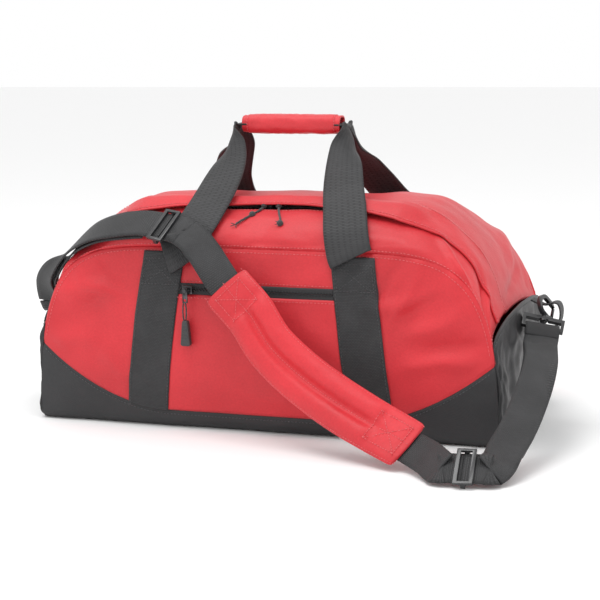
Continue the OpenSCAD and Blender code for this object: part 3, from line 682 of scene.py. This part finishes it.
# ---- Main zip ----
# Black woven tapes under the panels' edges, and a nylon coil moulded as two rows of teeth.
tape_cloth, tape_tree, tape_shader = principled("zip_tape_weave", 0.75, Sheen_Weight=0.2)
herring = node(tape_tree, "ShaderNodeTexWave", [("Vector", node(tape_tree, "ShaderNodeTexCoord").outputs["Object"]),
    ("Scale", 260.0), ("Distortion", 1.0)], bands_direction="DIAGONAL").outputs["Fac"]
tape_tree.links.new(ramp(tape_tree, herring, (0.008, 0.008, 0.009), (0.030, 0.030, 0.032)),
    tape_shader.inputs["Base Color"])
relief(tape_tree, tape_shader, herring, 0.4, 0.0003)
nylon = mottled("zip_nylon_black", 0.34, 300.0, 2.0, (0.008, 0.008, 0.008), (0.034, 0.034, 0.036),
    Specular_IOR_Level=0.5)


def coil_teeth(name, line, up, pitch, wide, tall, finish):
    """Teeth of a zip along a line: short bars that reach past the middle from each side in turn."""
    bm = bmesh.new()
    walked, k = 0.0, 0
    for a, b, n in zip(line, line[1:], up):
        step = (b - a).length
        along = (b - a).normalized()
        across = along.cross(n).normalized()
        while k * pitch < walked + step:
            at = a + along * (k * pitch - walked) + across * (wide * 0.22 * (1 if k % 2 else -1))
            turn = Matrix((along, across, along.cross(across))).transposed().to_4x4()
            bmesh.ops.create_icosphere(bm, subdivisions=1, radius=1, matrix=Matrix.Translation(at) @ turn
                @ Matrix.Diagonal((pitch * 0.56, wide * 0.36, tall, 1)))
            k += 1
        walked += step
    return new_piece(name, bm, finish)


TAPE_OUT = -SKIN - 0.0012
zip_line = [arch_at((2 * i / 160 - 1) * s_at(ZIP_PHI, end_top(ZIP_PHI) + 0.010), ZIP_PHI, TAPE_OUT + 0.0004, True)
    for i in range(161)]
zip_up = [(p - Vector((0, 0, 0.05))).normalized() for p in zip_line]
main_teeth = coil_teeth("main_zip_teeth", zip_line, zip_up, 0.0021, 0.0052, 0.0010, nylon)
declare(main_teeth, "main_zip_coil")


def refinish(cad_node, finish):
    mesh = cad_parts[cad_node].data
    mesh.materials.clear()
    mesh.materials.append(finish)


for cad_node in ("main_zip_front_tape", "main_zip_rear_tape"):
    refinish(cad_node, tape_cloth)

# ---- Sewn webbing and front pocket ----
# 50 mm webbing is sewn up each face. On the pocket side the two runs hold a flat patch pocket of
# the red cloth, closed along its top by a black coil zip.
GAP, WEB_T = 0.0004, 0.0020
HANDLE_W, RUN_FOOT, RUN_HEAD = 0.050, 0.137, 0.111


def run_x(z):
    return lerp(RUN_FOOT, RUN_HEAD, z / FRONT_H)


def face_near(side, x, z, out):
    """Sewn flat: follows the soft folds of the panel under it, but not its seam groove."""
    to_top = edge_z(x) - z
    return face_at(side, x, z, out + 0.0014 * math.exp(-(to_top / 0.0035) ** 2)
        + 0.0010 * math.exp(-((z - trim_z(x)) / 0.0030) ** 2))


for side, hand, label, cad_node in ((-1, -1, "front_left_run", "front_left_webbing"),
        (-1, 1, "front_right_run", "front_right_webbing"), (1, -1, "back_left_run", "back_left_webbing"),
        (1, 1, "back_right_run", "back_right_webbing")):
    def on_run(u, v, side=side, hand=hand):
        x = run_x(0.03) + (u - 0.5) * HANDLE_W
        z = lerp(trim_z(x) + 0.0006, 0.2045, v)
        return face_near(side, hand * (run_x(z) + (u - 0.5) * HANDLE_W), z, GAP + 0.0012)
    piece = soft_grid(label, 14, 66, on_run, webbing, WEB_T, 0.0, outside=CENTRE)
    declare(piece, cad_node)

POCKET_ZIP_Z, TAPE_HALF = 0.163, 0.0065


def between_runs(name, z0, z1, out, rows, finish, thick, bulge=0.0):
    def place(u, v):
        z = lerp(z0, z1, v)
        half = run_x(z) - HANDLE_W / 2
        c = 2 * u - 1
        puff = bulge * (1 - c ** 4) * math.sin(math.pi * v) ** 0.6
        return face_near(-1, half * c, z, out + puff)
    return soft_grid(name, 90, rows, place, finish, thick, outside=CENTRE)


pocket = between_runs("pocket_cloth", 0.0225, POCKET_ZIP_Z - TAPE_HALF + 0.0005, GAP + 0.0016, 50, red_cloth,
    0.0012, bulge=0.0012)
lower = between_runs("pocket_lower_tape", POCKET_ZIP_Z - TAPE_HALF - 0.001, POCKET_ZIP_Z - 0.0002, GAP + 0.0012, 3,
    tape_cloth, 0.0008)
upper = between_runs("pocket_upper_tape", POCKET_ZIP_Z + 0.0002, POCKET_ZIP_Z + TAPE_HALF, GAP + 0.0012, 3,
    tape_cloth, 0.0008)
pocket_line = [face_near(-1, lerp(-0.0935, 0.0935, i / 60), POCKET_ZIP_Z, GAP + 0.0016) for i in range(61)]
pocket_teeth = coil_teeth("pocket_zip_teeth", pocket_line, [Vector((0, -1, 0))] * 61, 0.0018, 0.0046, 0.0009, nylon)
declare(pocket, "pocket_panel")
declare(lower, "pocket_zip_lower_tape")
declare(upper, "pocket_zip_upper_tape")
declare(pocket_teeth, "pocket_zip_coil")

# ---- Sliders and pocket puller ----
# Black enamelled die-cast sliders. The pocket's one carries a link, a loop of cord and a flared
# moulded rubber grip that hangs free.
enamel = mottled("black_enamel", 0.28, 160.0, 5.0, (0.020, 0.020, 0.022), (0.16, 0.16, 0.17), 0.45, 0.85,
    Metallic=0.6, Coat_Weight=0.3, Coat_Roughness=0.2)


def rounded_copy(name, cad_node, finish, width):
    """The CAD shape with its edges rounded as a mould or a die leaves them."""
    bm = bmesh.new()
    bm.from_mesh(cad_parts[cad_node].data)
    bmesh.ops.remove_doubles(bm, verts=bm.verts, dist=2e-6)
    bmesh.ops.dissolve_limit(bm, angle_limit=math.radians(2), verts=bm.verts, edges=bm.edges)
    piece = new_piece(name, bm, finish)
    edge = piece.modifiers.new("rounded_edges", "BEVEL")
    edge.width = width
    edge.segments = 3
    edge.limit_method = "ANGLE"
    edge.angle_limit = math.radians(32)
    edge.harden_normals = False
    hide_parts(cad_node)
    return piece


for cad_node, body in (("main_slider_left", "left_main_slider"), ("main_slider_right", "right_main_slider"),
        ("pocket_slider", "pocket_zip_slider")):
    piece = rounded_copy(cad_node + "_cast", cad_node, enamel, 0.0005)
    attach(piece, body)

rubber = mottled("pull_rubber_black", 0.42, 700.0, 3.0, (0.028, 0.028, 0.029), (0.060, 0.060, 0.062),
    bump=(0.2, 0.0002), Specular_IOR_Level=0.45)
link = rounded_copy("pull_link_moulded", "pocket_pull_link", enamel, 0.0004)
puller = rounded_copy("pull_grip_moulded", "pocket_pull_grip", rubber, 0.0012)
pull_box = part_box("pocket_pull_grip")
pull_mid = (Vector(pull_box[0]) + Vector(pull_box[1])) / 2
rib_bm = bmesh.new()
for k in range(5):
    for face_side in (-1, 1):
        spot = Vector((pull_mid.x, pull_mid.y + face_side * 0.0034, pull_mid.z + 0.0075 - 0.0034 * k))
        bmesh.ops.create_cube(rib_bm, size=1, matrix=Matrix.Translation(spot)
            @ Matrix.Diagonal((0.0052 + 0.0007 * k, 0.0010, 0.0014, 1)))
bmesh.ops.bevel(rib_bm, geom=rib_bm.edges, offset=0.0004, segments=2, profile=0.5, affect="EDGES", material=-1)
ribs = new_piece("pull_grip_ribs", rib_bm, rubber)
loop_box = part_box("pocket_pull_cord")
loop_x, loop_y = (loop_box[0][0] + loop_box[1][0]) / 2, (loop_box[0][1] + loop_box[1][1]) / 2
loop_top, loop_foot = loop_box[1][2] + 0.0016, loop_box[0][2] - 0.002
loop_line = []
for k in range(49):
    t = 2 * math.pi * k / 48
    loop_line.append(Vector((loop_x - 0.0021 * math.sin(t), loop_y,
        lerp(loop_foot, loop_top, 0.5 + 0.5 * math.cos(t)))))
pull_loop = rope("pull_grip_cord", loop_line, 0.0018, cord_black, sides=10)
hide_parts("pocket_pull_cord")
for piece, name in ((link, "pull_rubber"), (puller, "pull_rubber"), (ribs, "pull_rubber"), (pull_loop, "cord")):
    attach(piece, "pocket_puller")

# ---- Carrying handle ----
# Two loops of the 50 mm webbing rise from the face seams, fold up narrow and run through a
# wrap of red cloth that closes round them with a hook-and-loop seam under the hand.
front_left_leg = [[-111, -134, 203], [-96, -132, 211], [-78, -122, 232], [-70, -96, 255], [-67, -66, 277],
    [-65, -42, 299], [-67, -25, 316], [-70, -14, 329], [-69, -8, 338], [-62, -5.4, 341], [-20, -5.4, 341]]
front_right_leg = [[111, -134, 203], [107, -131, 212], [101, -121, 232], [92, -95, 255], [82, -67, 276],
    [75, -42, 297], [71, -25, 314], [70, -14, 328], [68, -8, 338], [62, -5.4, 341], [20, -5.4, 341]]
rear_left_leg = [[-111, -134, 203], [-112, -132, 214], [-112, -120, 236], [-109, -92, 256], [-101, -64, 278],
    [-88, -42, 300], [-76, -25, 316], [-71, -14, 329], [-69, -8, 338], [-62, -5.4, 341], [-20, -5.4, 341]]
rear_right_leg = [[111, -134, 203], [107, -131, 212], [98, -121, 233], [86, -95, 256], [76, -70, 279],
    [72, -44, 300], [70, -25, 316], [70, -14, 329], [68, -8, 338], [62, -5.4, 341], [20, -5.4, 341]]
leg_across = [[-1, 0, 0.1], [-1, 0, 0.1], [-1, 0, 0], [-1, 0, 0], [-1, 0, 0], [-0.95, -0.2, 0], [-0.8, -0.6, 0],
    [-0.4, -0.9, 0], [0, -1, 0], [0, -1, 0], [0, -1, 0]]
leg_width = [50, 50, 50, 48.5, 46, 41, 33, 24, 17, 13, 12]


def handle_loop(name, left, right, mirror):
    points = in_metres(left + right[::-1])
    across = [Vector((-a[0], a[1], a[2])) for a in leg_across] + [Vector(a) for a in leg_across[::-1]]
    widths = leg_width + leg_width[::-1]
    points, across = finer(points, 3), finer(across, 3)
    widths = [w.x / 1000 for w in finer([Vector((w, 0, 0)) for w in widths], 3)]
    stops = stations(points, across)
    last = len(stops) - 1

    def place(u, v):
        p, side, face = stops[round(v * last)]
        c, w = 2 * u - 1, widths[round(v * last)]
        lost = max(0.0, HANDLE_W - w) / HANDLE_W
        deep = 1 - 0.93 * ease((p.z - 0.316) / 0.014)
        fold = 0.020 * deep * lost * (abs(c) ** 1.6)
        way = -1 if face.dot(Vector((-p.x, -p.y, 0))) < 0 else 1
        sag = 0.0009 * math.sin(v * 37) * (1 - c * c)
        q = p + side * (c * w / 2) + face * (way * fold + sag) - face * (way * 0.006 * lost * deep)
        return Vector((q.x, -q.y, q.z)) if mirror else q
    return soft_grid(name, 14, last, place, webbing, WEB_T, 0.0)


front_loop = handle_loop("front_handle_webbing", front_left_leg, front_right_leg, False)
rear_loop = handle_loop("rear_handle_webbing", rear_left_leg, rear_right_leg, True)
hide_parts("front_handle_loop")
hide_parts("rear_handle_loop")
for piece in (front_loop, rear_loop):
    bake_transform(piece)

GRIP_Z, GRIP_LEN = 0.341, 0.120
wrap_cloth = woven_finish("wrap_weave_red", (0.42, 0.007, 0.013), (0.72, 0.028, 0.040), 0.0007, 0.42, 0.1, 0.55)


def wrap_at(u, v):
    """Round section of the wrap, barrelled along its length and slightly crumpled."""
    angle = 2 * math.pi * (round(u * 48) % 48) / 48
    x = GRIP_LEN * (v - 0.5)
    end = abs(2 * v - 1)
    swell = 1 - 0.05 * end ** 6 - 0.03 * math.cos(2 * math.pi * v * 1.5) * 0.4
    hollow = 1 - 0.10 * ease((end - 0.86) / 0.06) * ease((1.06 - end) / 0.1)
    crease = (0.0006 * noise.noise(Vector((x * 70, angle * 1.4, 2)))
        + 0.0004 * noise.noise(Vector((x * 160, angle * 3, 5))))
    c, s = math.cos(angle), math.sin(angle)
    r = (abs(c) ** 2.6 + abs(s) ** 2.6) ** (-1 / 2.6)
    q = Vector((x, c * r * (0.0128 * swell * hollow + crease), s * r * (0.0113 * swell * hollow + crease)))
    lip = 0.0016 * math.exp(-((angle - 1.5 * math.pi - 0.25) / 0.10) ** 2)
    return q + Vector((0, 0, GRIP_Z - lip * 0.6))


wrap = soft_grid("grip_wrap_cloth", 48, 90, wrap_at, wrap_cloth, 0.0022, around=True, outside=Vector((0, 0, GRIP_Z)))
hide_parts("grip_wrap")
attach(wrap, "carry_handle")

# ---- End loops, snap hooks and strap glides ----
# A narrow webbing loop stands out of each end panel. A moulded snap hook clips to it, and the
# strap is threaded on the hook's swivelling bar. Three-bar glides set the strap's length.
loop_path = [[284.5, 145], [292, 146], [301, 146], [309, 146], [315, 142], [318, 134], [317.5, 124],
    [314, 116], [306, 112], [296, 110.5], [285, 110]]
loop_draw = [0, 0.7, 1, 0.6, 0.1, 0, 0, 0, 0, 0, 0]
loop_width = [20, 15, 9, 15, 19, 20, 20, 20, 20, 20, 20]
LOOP_SAG = -7
for sgn, label in ((1, "right_loop"), (-1, "left_loop")):
    path = [Vector((sgn * p[0], 0, p[1] + LOOP_SAG * d)) * 0.001 for p, d in zip(loop_path, loop_draw)]
    widths = [w.x / 1000 for w in finer([Vector((w, 0, 0)) for w in loop_width], 3)]
    piece = ribbon(label + "_webbing", stations(finer(path, 3), [Vector((0, 1, 0))] * len(widths)), widths, 0.0016)
    declare(piece, label)

acetal = mottled("moulded_acetal_black", 0.27, 120.0, 6.0, (0.012, 0.012, 0.013), (0.032, 0.032, 0.034),
    bump=(0.08, 0.0004), shine=(0.2, 0.4), Specular_IOR_Level=0.55, Coat_Weight=0.25, Coat_Roughness=0.12)
for cad_node, body, width in (("left_hook", "bag", 0.0010), ("right_hook", "bag", 0.0010),
        ("left_strap_eye", "bag", 0.0011), ("right_strap_eye", "bag", 0.0011),
        ("left_glide", "left_strap_glide", 0.0010),
        ("right_glide", "right_strap_glide", 0.0010), ("left_hook_gate", "left_gate", 0.0005),
        ("right_hook_gate", "right_gate", 0.0005)):
    piece = rounded_copy(cad_node + "_moulded", cad_node, acetal, width)
    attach(piece, body)

# ---- Strap ends ----
# The webbing passes round the bar of each strap eye. At the left it runs on as the second layer
# to the glide; at the right it is turned back under itself for about 0.2 m.


def round_bar(name, first, bar, side, after):
    """Webbing from the strap's end round a bar, and on through the points after it."""
    way = (bar - first).normalized()
    side = (side - way * side.dot(way)).normalized()
    out = way.cross(side)
    if out.dot(first - after[0]) < 0:
        out = -out
    r = 0.0042
    loop = [first, bar + out * r - way * 0.005] + [bar + out * (r * math.cos(a)) + way * (r * math.sin(a))
        for a in (0, 0.8, 1.57, 2.34, 3.14)] + [bar - out * r - way * 0.005] + after
    line = finer(loop, 2)
    return ribbon(name, stations(line, [side] * len(line)), STRAP_W, STRAP_T)


right_back = [p - face * 0.0026 * (1 if face.z > 0 else -1) for p, _, face in strap_stops[-1:-76:-12]]
right_fold = round_bar("right_strap_fold", strap_route[-1], Vector((0.301, -0.0257, 0.1165)),
    Vector((0.961, 0.177, -0.211)), right_back)
left_fold = round_bar("left_strap_fold", strap_route[0], Vector((-0.301, -0.0257, 0.1165)),
    Vector((0.961, -0.177, 0.211)), [return_route[0]])
for piece in (right_fold, left_fold):
    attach(piece, "bag")

# ---- Shoulder pad ----
# A flat sleeve of the red cloth over foam, sewn down the middle and round its edges, with the
# webbing running behind it and boxed into both ends by crossed stitching.
PAD_W, PAD_T, PAD_FROM, PAD_TO = 0.060, 0.009, 12 * 8, 18 * 8
pad_stops = strap_stops[PAD_FROM:PAD_TO + 1]
pad_last = len(pad_stops) - 1
pad_length = run_length([p for p, _, _ in pad_stops])


def pad_height(c, t):
    """Thickness of the pad at c across and t metres along: two lobes between three seams."""
    ends = min(t, pad_length - t)
    edge = max(0.0, 1 - abs(c) ** 5) ** 0.5
    lobes = (1 - 0.96 * math.exp(-(c / 0.16) ** 2)) * (0.42 + 0.58 * math.sin(math.pi * min(1, abs(c))) ** 0.7)
    boxed = ease((ends - 0.034) / 0.018)
    channel = lerp(0.62, lobes, boxed)
    seams = 1 - 0.45 * math.exp(-((ends - 0.036) / 0.0022) ** 2) - 0.35 * math.exp(-((ends - 0.006) / 0.002) ** 2)
    crinkle = 0.07 * noise.noise(Vector((c * 3, t * 60, 1))) + 0.05 * noise.noise(Vector((c * 7, t * 140, 4)))
    return PAD_T * edge * max(0.22, channel * seams + crinkle) * (0.55 + 0.45 * ease(ends / 0.01))


def pad_at(u, v):
    """u runs once round the section, over the front and back under it."""
    k = (round(u * 64) % 64) / 64
    front = k < 0.5
    c = math.sin(math.pi * (2 * k if front else 2 * (k - 0.5)) - math.pi / 2)
    c = c if front else -c
    return pad_skin(c, v, front)


def pad_skin(c, v, front=True, out=0.0):
    v = min(1.0, max(0.0, v))
    k = min(pad_last - 1, int(v * pad_last))
    p, side, face = (a.lerp(b, v * pad_last - k) for a, b in zip(pad_stops[k], pad_stops[k + 1]))
    t = pad_length * v
    high = pad_height(c, t)
    narrow = 0.97 - 0.05 * (1 - ease(min(v, 1 - v) * pad_length / 0.008)) + 0.010 * noise.noise(Vector((t * 34, 2, 0)))
    base = WEB_T / 2 + 0.0008
    lift = base + (high + out if front else 0.0)
    return p + side * (c * PAD_W / 2 * narrow) + face * lift


pad = cap_ends(soft_grid("shoulder_pad_cloth", 64, pad_last, pad_at, red_cloth, around=True))
smooth_pad = pad.modifiers.new("foam_round", "SUBSURF")
smooth_pad.levels = smooth_pad.render_levels = 1
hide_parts("strap_pad")
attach(pad, "bag")

# ---- Stitching ----
# Bonded thread, lockstitched six or seven to the inch: along both sides of every seam, round the
# pocket, the flap's hem and the webbing, and in crossed boxes where the webbing takes the load.


red_thread = mottled("thread_red", 0.5, 900.0, 2.0, (0.50, 0.04, 0.05), (0.85, 0.17, 0.18), 0.3, 0.7,
    Sheen_Weight=0.3)
black_thread = mottled("thread_black", 0.5, 900.0, 2.0, (0.012, 0.012, 0.012), (0.07, 0.07, 0.075), 0.3, 0.7,
    Sheen_Weight=0.3)


def stitches(name, lines, finish, body, pitch=0.0042):
    thick = 0.00042
    bm = bmesh.new()
    for line in lines:
        walked, k = 0.0, 0
        for a, b in zip(line, line[1:]):
            step = (b - a).length
            if step < 1e-9:
                continue
            way = (b - a) / step
            turn = way.to_track_quat("X", "Z").to_matrix().to_4x4()
            while k * pitch < walked + step:
                at = a + way * (k * pitch - walked)
                bmesh.ops.create_icosphere(bm, subdivisions=1, radius=1, matrix=Matrix.Translation(at) @ turn
                    @ Matrix.Diagonal((pitch * 0.38, thick, thick, 1)))
                k += 1
            walked += step
    piece = new_piece(name, bm, finish)
    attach(piece, body)
    return piece


def steps(n):
    return [i / n for i in range(n + 1)]


def box_cross(corner):
    """Stitch lines of a crossed box, by a surface function of 0..1 across and along."""
    a, b, c, d = (0.08, 0.05), (0.92, 0.05), (0.92, 0.95), (0.08, 0.95)
    return [[corner(lerp(p[0], q[0], t), lerp(p[1], q[1], t)) for t in steps(14)]
        for p, q in ((a, b), (b, c), (c, d), (d, a), (a, c), (b, d))]


top_lines, foot_lines = [], []
for side in (-1, 1):
    top_lines.append([face_at(side, outline(HALF, FRONT_H, END_S * w)[0] * 0.985,
        outline(HALF, FRONT_H, END_S * w)[1] - 0.0048, 0.0003) for w in [2 * t - 1 for t in steps(300)]])
    foot_lines.append([face_at(side, TRIM_X * w, trim_z(TRIM_X * w) - 0.0045, 0.0003)
        for w in [1.96 * t - 0.98 for t in steps(260)]])
arch_s = [2 * t - 1 for t in steps(300)]
for phi in (-math.pi / 2 + 0.042, math.pi / 2 - 0.042, ZIP_PHI - ZIP_HALF - 0.03):
    top_lines.append([arch_at(w * s_at(phi, end_top(phi) + 0.006), phi, 0.0003) for w in arch_s])
top_lines.append([flap_at(t, 0.10, 0.0004) for t in steps(300)])
top_lines.append([flap_at(t, 0.93, 0.0004) for t in steps(300)])
for sgn in (-1, 1):
    top_lines.append([arch_at(sgn * s_at(phi, end_top(phi) + 0.0035), phi, 0.0003)
        for phi in [math.radians(a) for a in range(-84, 88, 2)]])
pocket_top = POCKET_ZIP_Z - TAPE_HALF
pocket_half = run_x(pocket_top) - HANDLE_W / 2
top_lines.append([face_near(-1, pocket_half * (2 * t - 1), pocket_top - 0.0028, GAP + 0.0031) for t in steps(120)])
top_lines.append([face_near(-1, pocket_half * (2 * t - 1), POCKET_ZIP_Z + TAPE_HALF + 0.0022, 0.0004)
    for t in steps(120)])
stitches("red_seam_stitching", top_lines, red_thread, "bag")
for sgn in (-1, 1):
    foot_lines.append([end_at(sgn, math.radians(a), end_top(math.radians(a)) - 0.0045, 0.0003)
        for a in range(-84, 86, 2)])
for side in (-1, 1):
    for hand in (-1, 1):
        for edge in (-0.46, 0.46):
            foot_lines.append([face_near(side, hand * (run_x(z) + edge * HANDLE_W), z, GAP + 0.0024)
                for z in [lerp(0.026, 0.196, t) for t in steps(80)]])
        foot_lines.extend(box_cross(lambda a, b, side=side, hand=hand: face_near(side,
            hand * (run_x(lerp(0.166, 0.198, b)) + (a - 0.5) * HANDLE_W), lerp(0.166, 0.198, b), GAP + 0.0025)))
stitches("black_seam_stitching", foot_lines, black_thread, "bag")
pad_lines = [[pad_skin(c, t, True, 0.0002) for t in steps(pad_last)] for c in (-0.93, 0.0, 0.93)]
for first, last_v in ((0.022, 0.15), (0.978, 0.85)):
    pad_lines.extend(box_cross(lambda a, b, f=first, l=last_v: pad_skin(0.72 * (2 * a - 1),
        lerp(f, l, b), True, 0.0003)))
pad_seams = stitches("pad_stitching", pad_lines, red_thread, "bag", pitch=0.0036)
wrap_lines = [[wrap_at(u, v) + (wrap_at(u, v) - Vector((wrap_at(u, v).x, 0, GRIP_Z))).normalized() * 0.0003
    for u in steps(48)] for v in (0.055, 0.945)]
stitches("wrap_stitching", wrap_lines, red_thread, "carry_handle", pitch=0.0034)

# ---- Strap length ----
# The length of the strap's centre line is worked out but not used.
strap_line = [p for p, _, _ in strap_stops]
run_length(strap_line)

refinish("base_board", nylon)
